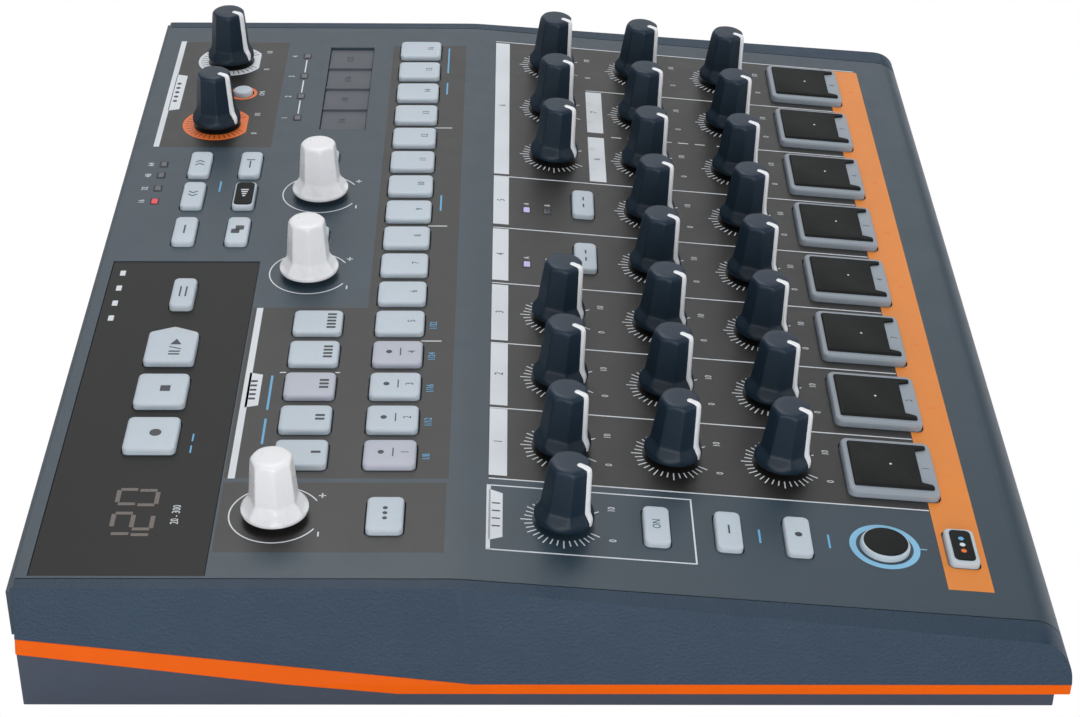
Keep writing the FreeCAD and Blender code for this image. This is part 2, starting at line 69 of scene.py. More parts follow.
# Keys and pads
KEY_RISE = 1.5
KEY_FOOT = -2.4
STEPS = [-98.35 + 15.08 * i for i in range(16)]
STEP_Y = 37.2
MODE_Y = 59.1
STEP_SIZE = (11.2, 13.1)
BAR_SIZE = (14.7, 6.4)
TRANSPORT_SIZE = (14.4, 13.2)
TRANSPORT_Y = 96.8
PLAY_POINT = 2.8
RECORD_X, STOP_X, PLAY_X, SYNC_X = -90.2, -70.5, -49.3, -23.3
EDIT_XS = (10.45, 31.1, 49.8)
EDIT_YS = (100.4, 85.4)
TAP_X = -123.2
TAP_SIZE = (13.6, 8.9)
TRACK_XS = (10.0, 55.8)
TRACK_Y = 62.4
TRACK_SIZE = (6.0, 6.0)
OUTPUT_KEY = (98.3, 92.3)
OUTPUT_KEY_RADIUS = 3.0
TYPE_XS = (1.5, 32.0)
TYPE_Y = -13.4
FUNCTION_X = -121.7
FUNCTION_YS = (-27.5, -44.8, -61.6)
SHIFT = (-122.2, -82.7)
SHIFT_RADIUS = 6.1
COLOR = (-121.4, -101.4)
COLOR_SIZE = (13.9, 7.4)
BLACK_TOP_RISE = 0.25
PAD_Y = -87.8
PAD_WIDTH = 23.0
PAD_CORNER = 2.0

# Height of all print above the surface under it, and how far it reaches into that surface.
PRINT = 0.035
PRINT_ROOT = -0.02


def panel_z(y):
    return PANEL_TOP if y >= BEND_Y else PANEL_TOP - (BEND_Y - y) * math.tan(SLOPE)


def panel(x, y, z=0.0):
    """Matrix that sets a shape, built round the origin, on the panel."""
    tilt = 0.0 if y >= BEND_Y else SLOPE
    lifted = Matrix.Translation((0, 0, z))
    return Matrix.Translation((x, y, panel_z(y))) @ Matrix.Rotation(tilt, 4, "X") @ lifted


# Materials

def links(mat):
    return mat.node_tree.nodes, mat.node_tree.links


def set_input(node, name, value):
    node.inputs[name].default_value = value


def rgb(r, g, b):
    """Linear colour of an sRGB value from 0 to 255."""
    def lin(c):
        c /= 255.0
        return c / 12.92 if c <= 0.04045 else ((c + 0.055) / 1.055) ** 2.4
    return (lin(r), lin(g), lin(b), 1.0)


def maths(mat, op, a, b=None):
    n, l = links(mat)
    node = n.new("ShaderNodeMath")
    node.operation = op
    for i, v in enumerate((a, b)):
        if v is None:
            continue
        if isinstance(v, (int, float)):
            node.inputs[i].default_value = v
        else:
            l.new(v, node.inputs[i])
    return node.outputs[0]


def noise(mat, coords, scale, detail=4.0, rough=0.6):
    n, l = links(mat)
    node = n.new("ShaderNodeTexNoise")
    set_input(node, "Scale", scale)
    set_input(node, "Detail", detail)
    set_input(node, "Roughness", rough)
    l.new(coords, node.inputs["Vector"])
    return node.outputs["Fac"]


def ramp(mat, value, low, high, out_low, out_high):
    n, l = links(mat)
    node = n.new("ShaderNodeMapRange")
    set_input(node, "From Min", low)
    set_input(node, "From Max", high)
    set_input(node, "To Min", out_low)
    set_input(node, "To Max", out_high)
    l.new(value, node.inputs["Value"])
    return node.outputs["Result"]


def mix(mat, fac, a, b):
    n, l = links(mat)
    node = n.new("ShaderNodeMix")
    node.data_type = "RGBA"
    l.new(fac, node.inputs["Factor"])
    for i, v in ((6, a), (7, b)):
        if isinstance(v, tuple):
            node.inputs[i].default_value = v
        else:
            l.new(v, node.inputs[i])
    return node.outputs[2]


def finish_material(name, base, rough, vary=0.06, grain=900.0, bump=0.05, metal=0.0, spec=0.5, coat=0.0,
                    soft=0.0, edge=0.0, glow=0.0, wear=0.05, cell=0.0, colour_of=None):
    """Procedural finish: mottled colour, uneven gloss, fine relief and optionally rounded-looking edges."""
    mat = bpy.data.materials.new(name)
    mat.use_nodes = True
    n, l = links(mat)
    shader = n["Principled BSDF"]
    coords = n.new("ShaderNodeTexCoord").outputs["Object"]
    colour = rgb(*base)
    if colour_of:
        colour = colour_of(mat, coords)
    broad = noise(mat, coords, 35.0, 3.0)
    shade = n.new("ShaderNodeHueSaturation")
    l.new(ramp(mat, broad, 0.3, 0.7, 1.0 - vary, 1.0 + vary), shade.inputs["Value"])
    if isinstance(colour, tuple):
        shade.inputs["Color"].default_value = colour
    else:
        l.new(colour, shade.inputs["Color"])
    l.new(shade.outputs[0], shader.inputs["Base Color"])
    smears = noise(mat, coords, 120.0, 5.0, 0.7)
    l.new(ramp(mat, smears, 0.3, 0.75, rough - wear, rough + wear), shader.inputs["Roughness"])
    set_input(shader, "Metallic", metal)
    set_input(shader, "Specular IOR Level", spec)
    set_input(shader, "Coat Weight", coat)
    set_input(shader, "Coat Roughness", 0.08)
    if soft:
        set_input(shader, "Subsurface Weight", soft)
        set_input(shader, "Subsurface Scale", 0.0015)
    if glow:
        shader.inputs["Emission Color"].default_value = rgb(*base)
        set_input(shader, "Emission Strength", glow)
    relief = n.new("ShaderNodeBump")
    set_input(relief, "Strength", bump)
    set_input(relief, "Distance", 0.0002)
    height = noise(mat, coords, grain, 2.0)
    if cell:
        grains = n.new("ShaderNodeTexVoronoi")
        set_input(grains, "Scale", cell)
        l.new(coords, grains.inputs["Vector"])
        height = maths(mat, "ADD", height, grains.outputs["Distance"])
    l.new(height, relief.inputs["Height"])
    if edge:
        bevel = n.new("ShaderNodeBevel")
        bevel.samples = 4
        set_input(bevel, "Radius", edge * MM)
        l.new(bevel.outputs[0], relief.inputs["Normal"])
    l.new(relief.outputs[0], shader.inputs["Normal"])
    return mat


PAINT = (43, 61, 73)
SECTION = (32, 31, 29)
# Printed areas of the panel in millimetres: left, right, front, rear.
DARK_AREAS = [
    (-136.6, -109.1, 22.9, 77.0), (-107.4, -29.2, 22.5, 77.2), (-107.4, 133.0, 22.5, 46.2),
    (62.3, 135.1, 80.5, 116.2), (-106.2, 137.6, -95.9, 13.0),
]
ORANGE_AREAS = [(-137.0, 137.3, -107.0, -96.0)]
ORANGE_PAINT = (226, 132, 40)


def panel_paint(mat, coords):
    n, l = links(mat)
    split = n.new("ShaderNodeSeparateXYZ")
    l.new(coords, split.inputs[0])
    x, y = split.outputs[0], split.outputs[1]
    facing = n.new("ShaderNodeSeparateXYZ")
    l.new(n.new("ShaderNodeNewGeometry").outputs["Normal"], facing.inputs[0])
    upward = maths(mat, "GREATER_THAN", facing.outputs[2], 0.9)

    def within(value, low, high):
        offset = maths(mat, "ABSOLUTE", maths(mat, "SUBTRACT", value, (low + high) / 2 * MM))
        return maths(mat, "LESS_THAN", offset, (high - low) / 2 * MM)

    def area(rects):
        total = None
        for x0, x1, y0, y1 in rects:
            one = maths(mat, "MULTIPLY", within(x, x0, x1), within(y, y0, y1))
            total = one if total is None else maths(mat, "MAXIMUM", total, one)
        return maths(mat, "MULTIPLY", total, upward)

    dark = mix(mat, area(DARK_AREAS), rgb(*PAINT), rgb(*SECTION))
    return mix(mat, area(ORANGE_AREAS), dark, rgb(*ORANGE_PAINT))


# Finishes by name: the colour, gloss and relief of one real material each.
M = {
    "casing": finish_material(
        "casing_paint", PAINT, 0.4, 0.035, 2600, 0.12, edge=0.35, colour_of=panel_paint),
    "cheek": finish_material("cheek_paint", (36, 57, 76), 0.45, 0.05, 1800, 0.35, spec=0.25, cell=1500),
    "tray": finish_material("tray_paint", (54, 63, 78), 0.5, 0.06, 1800, 0.25, edge=0.3),
    "trim": finish_material("trim_orange", (226, 92, 0), 0.5, 0.04, 1500, 0.1, spec=0.1, edge=0.3),
    "window": finish_material("window_gloss", (22, 22, 21), 0.38, 0.02, 1200, 0.01, spec=0.2, wear=0.03),
    "strip": finish_material("strip_rubber", (80, 84, 92), 0.55, 0.04, 1800, 0.15, edge=0.25),
    "knob_dark": finish_material("knob_rubber", (17, 36, 50), 0.48, 0.06, 2200, 0.12, spec=0.35),
    "cap": finish_material("knob_cap", (30, 46, 62), 0.42, 0.05, 2200, 0.1, spec=0.3),
    "knob_white": finish_material("encoder_plastic", (236, 236, 238), 0.3, 0.012, 1800, 0.04, soft=0.1),
    "pointer": finish_material("pointer_white", (238, 240, 243), 0.38, 0.012, 2000, 0.05),
    "pad_frame": finish_material("pad_frame", (146, 155, 164), 0.45, 0.03, 1800, 0.08, soft=0.08),
    "pad_top": finish_material("pad_top", (28, 29, 29), 0.55, 0.06, 1500, 0.12, spec=0.12),
    "key": finish_material("key_silicone", (190, 201, 210), 0.46, 0.02, 1600, 0.07, soft=0.25),
    "key_lit": finish_material("key_silicone_lit", (182, 186, 198), 0.46, 0.02, 1600, 0.07, soft=0.25),
    "board": finish_material("board_green", (24, 60, 44), 0.4, 0.1, 1500, 0.1, edge=0.1),
    "metal": finish_material("pot_metal", (150, 150, 150), 0.35, 0.08, 1500, 0.06, metal=1.0),
    "plate": finish_material("rear_plate", (50, 55, 66), 0.48, 0.05, 1600, 0.15, edge=0.2),
    "socket": finish_material("socket_plastic", (22, 22, 24), 0.4, 0.08, 1400, 0.08, edge=0.2),
    "nut": finish_material("socket_nut", (185, 187, 190), 0.28, 0.06, 1400, 0.05, metal=1.0),
    "foot": finish_material("foot_rubber", (28, 28, 30), 0.75, 0.1, 900, 0.3, edge=0.3),
    "screw": finish_material("screw_steel", (70, 70, 74), 0.32, 0.08, 1400, 0.06, metal=1.0),
    "white": finish_material("print_white", (216, 221, 226), 0.5, 0.03, 2000, 0.06),
    "orange": finish_material("print_orange", (232, 112, 40), 0.5, 0.03, 2000, 0.06),
    "blue": finish_material("print_blue", (98, 172, 215), 0.5, 0.03, 2000, 0.06),
    "ring_blue": finish_material("print_ring_blue", (132, 190, 224), 0.5, 0.03, 2000, 0.06),
    "ink": finish_material("print_ink", (48, 54, 62), 0.5, 0.03, 2000, 0.06),
    "groove": finish_material("dark_gap", (18, 20, 24), 0.6, 0.05, 2000, 0.06),
    "led": finish_material("led_clear", (58, 62, 72), 0.2, 0.05, 1500, 0.02, coat=0.4),
    "led_red": finish_material("led_red", (205, 60, 66), 0.25, 0.05, 1500, 0.02, glow=0.25),
    "led_lilac": finish_material("led_lilac", (176, 168, 214), 0.25, 0.05, 1500, 0.02, glow=0.25),
    "digit": finish_material("digit_dim", (96, 86, 78), 0.3, 0.03, 1500, 0.02, coat=0.2),
}


# Meshes

def polygon(points, radius, steps=5):
    """Closed 2-D outline with every corner rounded."""
    out = []
    count = len(points)
    for i, p in enumerate(points):
        here = Vector(p)
        before = (Vector(points[i - 1]) - here).normalized()
        after = (Vector(points[(i + 1) % count]) - here).normalized()
        half = before.angle(after) / 2
        reach = radius / math.tan(half)
        centre = here + (before + after).normalized() * (radius / math.sin(half))
        start = here + before * reach - centre
        end = here + after * reach - centre
        a0 = math.atan2(start.y, start.x)
        sweep = (math.atan2(end.y, end.x) - a0 + math.pi) % (2 * math.pi) - math.pi
        for k in range(steps + 1):
            a = a0 + sweep * k / steps
            out.append((centre.x + radius * math.cos(a), centre.y + radius * math.sin(a)))
    return out


def rectangle(width, length, radius, steps=5):
    w, h = width / 2, length / 2
    return polygon([(-w, -h), (w, -h), (w, h), (-w, h)], max(radius, 0.05), steps)


def circle(radius, count=48):
    return [(radius * math.cos(2 * math.pi * i / count), radius * math.sin(2 * math.pi * i / count))
            for i in range(count)]


def loft(bm, rings, matrix, material=0, top=None):
    """Closed solid through rings of (outline, height), all with the same number of points."""
    rows = [[bm.verts.new(matrix @ Vector((x, y, z))) for x, y in outline] for outline, z in rings]
    count = len(rows[0])
    for low, high in zip(rows, rows[1:]):
        for i in range(count):
            j = (i + 1) % count
            bm.faces.new((low[i], low[j], high[j], high[i])).material_index = material
    bm.faces.new(rows[0][::-1]).material_index = material
    bm.faces.new(rows[-1]).material_index = material if top is None else top


def slab(bm, outline, z0, z1, matrix, material=0):
    loft(bm, [(outline, z0), (outline, z1)], matrix, material)


def bar(bm, x0, x1, y0, y1, matrix=None, material=0, z0=PRINT_ROOT, z1=PRINT):
    """Thin printed bar on the panel between two points of its layout."""
    x, y = (x0 + x1) / 2, (y0 + y1) / 2
    w, h = (x1 - x0) / 2, (y1 - y0) / 2
    slab(bm, [(-w, -h), (w, -h), (w, h), (-w, h)], z0, z1, matrix or panel(x, y), material)


def finish_mesh(name, bm, materials, sharp):
    """Mesh in metres from a bmesh in millimetres, smooth but for its sharp edges."""
    bmesh.ops.scale(bm, vec=(MM, MM, MM), verts=bm.verts)
    bmesh.ops.recalc_face_normals(bm, faces=bm.faces)
    mesh = bpy.data.meshes.new(name)
    bm.to_mesh(mesh)
    bm.free()
    mesh.shade_smooth()
    mesh.set_sharp_from_angle(angle=math.radians(sharp))
    for key in materials:
        mesh.materials.append(M[key])
    return mesh


def place(name, mesh, body, slot, replaced=(), matrix=None):
    """Put a mesh in the scene as a piece that rides on a body."""
    piece = bpy.data.objects.new(name, mesh)
    bpy.context.scene.collection.objects.link(piece)
    if matrix is not None:
        piece.matrix_world = matrix
    bpy.context.view_layer.update()
    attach(piece, body)
    if replaced:
        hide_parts(*replaced)


def make(name, bm, materials, body="case", slot="casing", replaced=(), sharp=35.0):
    place(name, finish_mesh(name, bm, materials, sharp), body, slot, replaced)


def in_metres(matrix):
    out = matrix.copy()
    out.translation = matrix.translation * MM
    return out


glyph_cache = {}


def glyph_shape(text):
    """Points and faces of a line of plain characters, one unit high and centred on the origin."""
    curve = bpy.data.curves.new("glyph", "FONT")
    curve.body = text
    curve.align_x = "CENTER"
    curve.align_y = "CENTER"
    curve.resolution_u = 2
    curve.extrude = 0.5
    holder = bpy.data.objects.new("glyph", curve)
    bpy.context.scene.collection.objects.link(holder)
    bpy.context.view_layer.update()
    mesh = bpy.data.meshes.new_from_object(holder.evaluated_get(bpy.context.evaluated_depsgraph_get()))
    points = [v.co.copy() for v in mesh.vertices]
    faces = [tuple(p.vertices) for p in mesh.polygons]
    bpy.data.objects.remove(holder)
    bpy.data.curves.remove(curve)
    bpy.data.meshes.remove(mesh)
    return points, faces


def glyphs(bm, text, x, y, size, material=0, turn=0.0, squeeze=0.8, z=0.0, matrix=None):
    """Raised print of plain characters, centred on a point of the panel or of a matrix."""
    if text not in glyph_cache:
        glyph_cache[text] = glyph_shape(text)
    points, faces = glyph_cache[text]
    turned = (matrix or panel(x, y, z)) @ Matrix.Rotation(turn, 4, "Z")
    stretched = [Vector((p.x * size * squeeze, p.y * size, (p.z + 0.5) * PRINT)) for p in points]
    verts = [bm.verts.new(turned @ p) for p in stretched]
    for face in faces:
        try:
            bm.faces.new([verts[i] for i in face]).material_index = material
        except ValueError:
            pass


# Finishes of the CAD nodes that stay in view

node_finish = {
    "top_casing": "casing", "left_cheek": "cheek", "right_cheek": "cheek", "bottom_tray": "tray",
    "trim_band": "trim", "display_window": "window", "touch_strip": "strip", "circuit_boards": "board",
    "control_pots": "metal", "rear_panel": "plate", "rear_sockets": "socket", "power_button": "socket",
    "rubber_feet": "foot", "case_screws": "screw",
}
for name, key in node_finish.items():
    materials = nodes[name].data.materials
    if not materials:
        materials.append(M[key])
    for index in range(len(materials)):
        materials[index] = M[key]

WELD_REACH = 0.02
CHEEK_ROUNDING = 0.7
TRAY_ROUNDING = 0.3
ROUNDED_ANGLE = 38
rounded = {
    "left_cheek": CHEEK_ROUNDING, "right_cheek": CHEEK_ROUNDING,
    "bottom_tray": TRAY_ROUNDING, "trim_band": TRAY_ROUNDING,
}
for name, radius in rounded.items():
    weld = nodes[name].modifiers.new("weld", "WELD")
    weld.merge_threshold = WELD_REACH * MM
    rounding = nodes[name].modifiers.new("rounding", "BEVEL")
    rounding.width = radius * MM
    rounding.segments = 3
    rounding.limit_method = "ANGLE"
    rounding.angle_limit = math.radians(ROUNDED_ANGLE)
    rounding.use_clamp_overlap = True


# Knobs: height, skirt radius, and the parts of their shape that both kinds share

KNOB_HEIGHT, KNOB_SKIRT = 18.0, 7.3
ENCODER_HEIGHT, ENCODER_SKIRT = 17.2, 8.1
KNOB_TURN = math.radians(-120.0)
KNOB_FLATS = 7
KNOB_COLUMNS = 126
CAP_DEPTH = 1.2
CAP_FLAT_RADIUS = 3.4
CORNER_BLEND = 0.16
FLAT_FOOT = 5.6
FLAT_LEAN = 0.88
FLAT_END_Z = 3.0
SHOULDER_Z = 4.0
FLARE_Z = 5.4
FLARE = 0.62
NO_FLAT = 99.0
POINTER_HALF = 0.81


def knob_profile(height, skirt):
    """Half outline of a knob before its flats are cut, from the cap's middle down to the shaft's end."""
    h = height
    cap = [(0.6, h - 0.10), (1.8, h - 0.10), (2.8, h - 0.11), (3.5, h - 0.15), (4.0, h - 0.22)]
    edge = [(4.4, h - 0.34), (4.7, h - 0.5), (4.95, h - 0.75), (5.12, h - 1.05), (5.24, h - 1.4),
            (5.33, h - 1.8), (5.4, h - 2.3)]
    side = [(5.5, h - 3.2), (5.62, h - 4.4), (5.78, h - 6.0), (5.95, h - 8.0), (6.12, h - 10.0),
            (6.25, h - 11.4)]
    shoulder = [(6.35, 5.8), (6.42, 5.3), (6.5, 4.95), (6.6, 4.7), (6.72, 4.45), (6.84, 4.25)]
    rim = [(skirt - 0.38, 4.0), (skirt - 0.2, 3.75), (skirt - 0.07, 3.45), (skirt, 3.1), (skirt, 2.5),
           (skirt, 1.95), (skirt - 0.1, 1.7), (skirt - 0.35, 1.54), (skirt - 0.8, 1.5)]
    shaft = [(3.2, 1.5), (3.0, 1.5), (3.0, -0.5), (3.0, -4.0)]
    return cap + edge + side + shoulder + rim + shaft


def flat_distance(z, height):
    """How far a flat of the knob is from its axis: it leans in toward the cap and flares at the shoulder."""
    if z <= FLAT_END_Z:
        return NO_FLAT
    distance = FLAT_FOOT - FLAT_LEAN * (z - SHOULDER_Z) / (height - SHOULDER_Z)
    return distance + max(FLARE_Z - z, 0.0) * FLARE


def add_pointer(bm, height, skirt, material):
    """White line from the cap down one edge of the knob to its skirt, standing a little proud."""
    w = POINTER_HALF
    path = [
        (1.75, height - 0.12, 0.16), (1.85, height - 0.05, 0.46), (2.05, height - 0.01, 0.68),
        (2.4, height, w),
        (4.3, height - 0.02, w), (4.85, height - 0.2, w), (5.28, height - 0.7, w), (5.5, height - 1.5, w),
        (5.62, height - 3.0, w), (5.85, height - 6.5, w), (6.15, height - 10.5, w), (6.3, 6.6, w),
        (6.42, 5.7, w), (6.65, 5.1, w), (7.0, 4.45, w), (skirt - 0.08, 3.95, w), (skirt, 3.4, w),
        (skirt, 2.6, 0.78), (skirt, 2.2, 0.62), (skirt, 2.02, 0.41), (skirt - 0.04, 1.95, 0.16),
    ]
    cos, sin = math.cos(KNOB_TURN), math.sin(KNOB_TURN)
    rows = []
    for r, z, half in path:
        on_cap = z > height - 0.6
        inner = (r, z - 0.7) if on_cap else (r - 0.9, z)
        edge = (r, z - 0.1) if on_cap else (r - 0.1, z)
        soft = half * 0.82
        section = [(inner, -half), (edge, -half), ((r, z), -soft)]
        section += [(point, -side) for point, side in section[::-1]]
        rows.append([bm.verts.new((pr * cos - side * sin, pr * sin + side * cos, pz))
                     for (pr, pz), side in section])
    for p, q in zip(rows, rows[1:]):
        for k in range(6):
            bm.faces.new((p[k], q[k], q[(k + 1) % 6], p[(k + 1) % 6])).material_index = material
    bm.faces.new(rows[0]).material_index = material
    bm.faces.new(rows[-1][::-1]).material_index = material


def knob_mesh(name, height, skirt, materials):
    """Faceted knob from its side, cap and, where a third one is given, pointer material."""
    bm = bmesh.new()
    profile = knob_profile(height, skirt)
    rows = []
    for radius, z in profile:
        row = []
        for i in range(KNOB_COLUMNS):
            a = KNOB_TURN + 2 * math.pi * i / KNOB_COLUMNS
            off = (a - KNOB_TURN) % (2 * math.pi / KNOB_FLATS) - math.pi / KNOB_FLATS
            flat = flat_distance(z, height) / math.cos(off)
            r = min(radius, flat)
            if radius > CAP_FLAT_RADIUS and z > FLAT_END_Z:
                near, far = math.exp(-radius / CORNER_BLEND), math.exp(-min(flat, 40.0) / CORNER_BLEND)
                r = -CORNER_BLEND * math.log(near + far)
            row.append(bm.verts.new((r * math.cos(a), r * math.sin(a), z)))
        rows.append(row)
    for (_, z), p, q in zip(profile, rows, rows[1:]):
        for i in range(KNOB_COLUMNS):
            j = (i + 1) % KNOB_COLUMNS
            bm.faces.new((p[i], q[i], q[j], p[j])).material_index = 1 if z > height - CAP_DEPTH else 0
    bm.faces.new(rows[0]).material_index = 1
    bm.faces.new(rows[-1][::-1])
    if len(materials) > 2:
        add_pointer(bm, height, skirt, 2)
    return finish_mesh(name, bm, materials, 50)


def set_knobs(knobs, mesh, slot):
    for name, x, y in knobs:
        place("finish_" + name, mesh, name, slot, (name + "_knob",), in_metres(panel(x, y)))


scaled_knobs = [("metronome_volume", METRONOME_X, KNOB_ROWS[0])]
for i, name in enumerate(CHANNEL_NAMES):
    for y, part in zip(KNOB_ROWS, ("shape", "tone", "level")):
        if part != "shape" or i not in TYPE_CHANNELS:
            scaled_knobs.append((name + "_" + part, CHANNELS[i], y))
rear_knobs = [("distortion", DISTORTION_X, REAR_KNOB_Y), ("master_volume", VOLUME_X, REAR_KNOB_Y)]
encoder_names = ("rate_encoder", "swing_encoder", "random_encoder")
encoders = [(name, x, ENCODER_Y) for name, x in zip(encoder_names, ENCODER_XS)]
dark_knob = knob_mesh("dark_knob", KNOB_HEIGHT, KNOB_SKIRT, ("knob_dark", "cap", "pointer"))
white_knob = knob_mesh("white_knob", ENCODER_HEIGHT, ENCODER_SKIRT, ("knob_white", "knob_white"))
set_knobs(scaled_knobs + rear_knobs, dark_knob, "knob_dark")
set_knobs(encoders, white_knob, "knob_white")


# Keys: straight sides, a soft upper edge and a nearly flat top

KEY_CORNER = 1.6
KEY_EDGE_HEIGHT = 0.7
KEY_EDGE_INSET = 0.6
KEY_FLAT_INSET = 1.3
KEY_SHOULDER = KEY_RISE - 0.75
SIDE_DRAFT = 0.02
MARK_HALF = 0.02
BLACK_TOP = KEY_RISE + BLACK_TOP_RISE
key_materials = ("key", "pad_top", "ink", "key_lit", "white", "blue", "orange")
KEY, BLACK, INK, LIT, WHITE, BLUE, ORANGE = range(len(key_materials))
ON_BLACK = BLACK_TOP + 0.01
LIT_STEPS = (0, 3)
LIT_MODE = 2


def play_points(grow):
    half = TRANSPORT_SIZE[1] / 2 + grow
    reach = (TRANSPORT_SIZE[0] + PLAY_POINT) / 2
    shoulder = reach - PLAY_POINT + grow / 2
    back, tip = -reach - grow, reach + grow
    return [(back, -half), (shoulder, -half), (tip, 0), (shoulder, half), (back, half)]


def key_outline(kind, width, length, inset):
    """Outline of a key's section. A round key has its radius as its width."""
    if kind == "round":
        return circle(width - inset, 56)
    if kind == "play":
        return polygon(play_points(-inset), max(1.4 - inset, 0.3), 5)
    corner = min(KEY_CORNER, length / 4)
    return rectangle(width - 2 * inset, length - 2 * inset, max(corner - inset, 0.3))


def key_solid(bm, kind, x, y, width, length, material=KEY, black=None):
    """One moulded key, and a black plate on it where its width and length are given."""
    def ring(inset, z):
        return (key_outline(kind, width, length, inset), z)

    rings = [ring(0.0, KEY_FOOT), ring(SIDE_DRAFT, KEY_SHOULDER)]
    for k in range(1, 5):
        a = math.pi / 2 * k / 4
        inset = SIDE_DRAFT + KEY_EDGE_INSET * (1 - math.cos(a))
        rings.append(ring(inset, KEY_SHOULDER + KEY_EDGE_HEIGHT * math.sin(a)))
    rings.append(ring(KEY_FLAT_INSET, KEY_RISE))
    loft(bm, rings, panel(x, y), material)
    if black is not None:
        plate = [(0.0, KEY_RISE - 0.5), (0.0, BLACK_TOP - 0.12), (0.1, BLACK_TOP - 0.03), (0.3, BLACK_TOP)]
        loft(bm, [(key_outline(kind, *black, inset), z) for inset, z in plate], panel(x, y), BLACK)


def legend(bm, text, x, y, size):
    glyphs(bm, text, x, y, size, INK, matrix=panel(x, y, KEY_RISE - 0.01))


def mark(bm, outline, x, y, material=INK, z=KEY_RISE):
    """Small printed sign on a key's top."""
    slab(bm, outline, z - MARK_HALF, z + MARK_HALF, panel(x, y), material)


def dash(width, height):
    return rectangle(width, height, 0.1, 2)


def step_keys(bm, first):
    for i in range(first, first + 8):
        key_solid(bm, "block", STEPS[i], STEP_Y, *STEP_SIZE, material=LIT if i in LIT_STEPS else KEY)
        legend(bm, str(i + 1), STEPS[i], STEP_Y - (3.2 if i >= 4 else 3.8), 2.9)
        if i < 4:
            mark(bm, dash(3.6, 0.3), STEPS[i], STEP_Y - 0.8)
            mark(bm, circle(0.8, 20), STEPS[i], STEP_Y + 2.2)


def mode_keys(bm):
    for i in range(5):
        key_solid(bm, "block", STEPS[i], MODE_Y, *STEP_SIZE, material=LIT if i == LIT_MODE else KEY)
        for k in range(i + 1):
            mark(bm, rectangle(0.9, 2.4, 0.15, 2), STEPS[i] + (k - i / 2) * 1.6, MODE_Y - 3.7)


def transport_keys(bm):
    sign_y = TRANSPORT_Y - 1.0
    key_solid(bm, "block", RECORD_X, TRANSPORT_Y, *TRANSPORT_SIZE)
    mark(bm, circle(1.5, 32), RECORD_X, sign_y)
    key_solid(bm, "block", STOP_X, TRANSPORT_Y, *TRANSPORT_SIZE)
    mark(bm, dash(2.6, 2.6), STOP_X, sign_y)
    key_solid(bm, "play", PLAY_X, TRANSPORT_Y, *TRANSPORT_SIZE)
    sign_y = TRANSPORT_Y - 1.2
    slash = [(-0.75, -1.6), (-0.35, -1.6), (0.75, 1.6), (0.35, 1.6)]
    arrow = [(-1.2, -1.5), (1.5, 0.0), (-1.2, 1.5)]
    for dx in (-5.2, -3.9):
        mark(bm, dash(0.6, 3.0), PLAY_X + dx, sign_y)
    mark(bm, polygon(slash, 0.05, 2), PLAY_X - 2.2, sign_y)
    mark(bm, polygon(arrow, 0.05, 2), PLAY_X + 0.6, sign_y)
    key_solid(bm, "block", SYNC_X, TRANSPORT_Y, *BAR_SIZE)
    for dy in (0.8, -0.8):
        mark(bm, dash(5.2, 0.45), SYNC_X, TRANSPORT_Y + dy)


def edit_keys(bm):
    rear_y, front_y = EDIT_YS
    for y in EDIT_YS:
        for x in EDIT_XS:
            dark = (x, y) == (EDIT_XS[1], front_y)
            key_solid(bm, "block", x, y, *BAR_SIZE, black=(12.9, 5.2) if dark else None)
    for x, way in zip(EDIT_XS[1:], (-1, 1)):
        arms = [(-0.7, -1.3), (-0.2, -1.3), (0.7, 0), (-0.2, 1.3), (-0.7, 1.3), (0.2, 0)]
        chevron = [(px * way, py) for px, py in arms][::way]
        for dx in (-0.9, 0.9):
            mark(bm, chevron, x + dx, rear_y)
    mark(bm, dash(4.6, 0.5), EDIT_XS[0], rear_y)
    for dx, dy in ((-1.0, 0.5), (0.9, -0.6)):
        mark(bm, rectangle(2.4, 2.4, 0.3, 3), EDIT_XS[0] + dx, front_y + dy)
    for k in range(4):
        mark(bm, dash(0.6, 0.8 + 0.5 * k), EDIT_XS[1] - 1.7 + 1.2 * k, front_y, WHITE, ON_BLACK)
    mark(bm, dash(4.2, 0.45), EDIT_XS[2] - 0.9, front_y)
    mark(bm, dash(0.5, 2.6), EDIT_XS[2] + 1.9, front_y)


def tap_and_track_keys(bm):
    key_solid(bm, "block", TAP_X, STEP_Y, *TAP_SIZE)
    for dx in (-2.0, 0.0, 2.0):
        mark(bm, circle(0.6, 20), TAP_X + dx, STEP_Y)
    for x in TRACK_XS:
        key_solid(bm, "block", x, TRACK_Y, *TRACK_SIZE)
    key_solid(bm, "round", *OUTPUT_KEY, OUTPUT_KEY_RADIUS, 0.0)


def type_keys(bm):
    for x in TYPE_XS:
        key_solid(bm, "block", x, TYPE_Y, *BAR_SIZE)
        for dx in (-2.0, 2.0):
            mark(bm, dash(2.0, 0.45), x + dx, TYPE_Y)


def function_keys(bm):
    for y in FUNCTION_YS:
        key_solid(bm, "block", FUNCTION_X, y, *BAR_SIZE)
    legend(bm, "ON", FUNCTION_X, FUNCTION_YS[0], 2.9)
    mark(bm, dash(3.4, 0.45), FUNCTION_X, FUNCTION_YS[1])
    mark(bm, circle(0.9, 24), FUNCTION_X, FUNCTION_YS[2])


def shift_key(bm):
    key_solid(bm, "round", *SHIFT, SHIFT_RADIUS, 0.0, black=(5.4, 0.0))


def color_key(bm):
    x, y = COLOR
    key_solid(bm, "block", x, y, *COLOR_SIZE, black=(11.7, 5.2))
    for dx, material in ((-2.4, ORANGE), (0.0, WHITE), (2.4, BLUE)):
        mark(bm, circle(0.7, 20), x + dx, y, material, ON_BLACK)


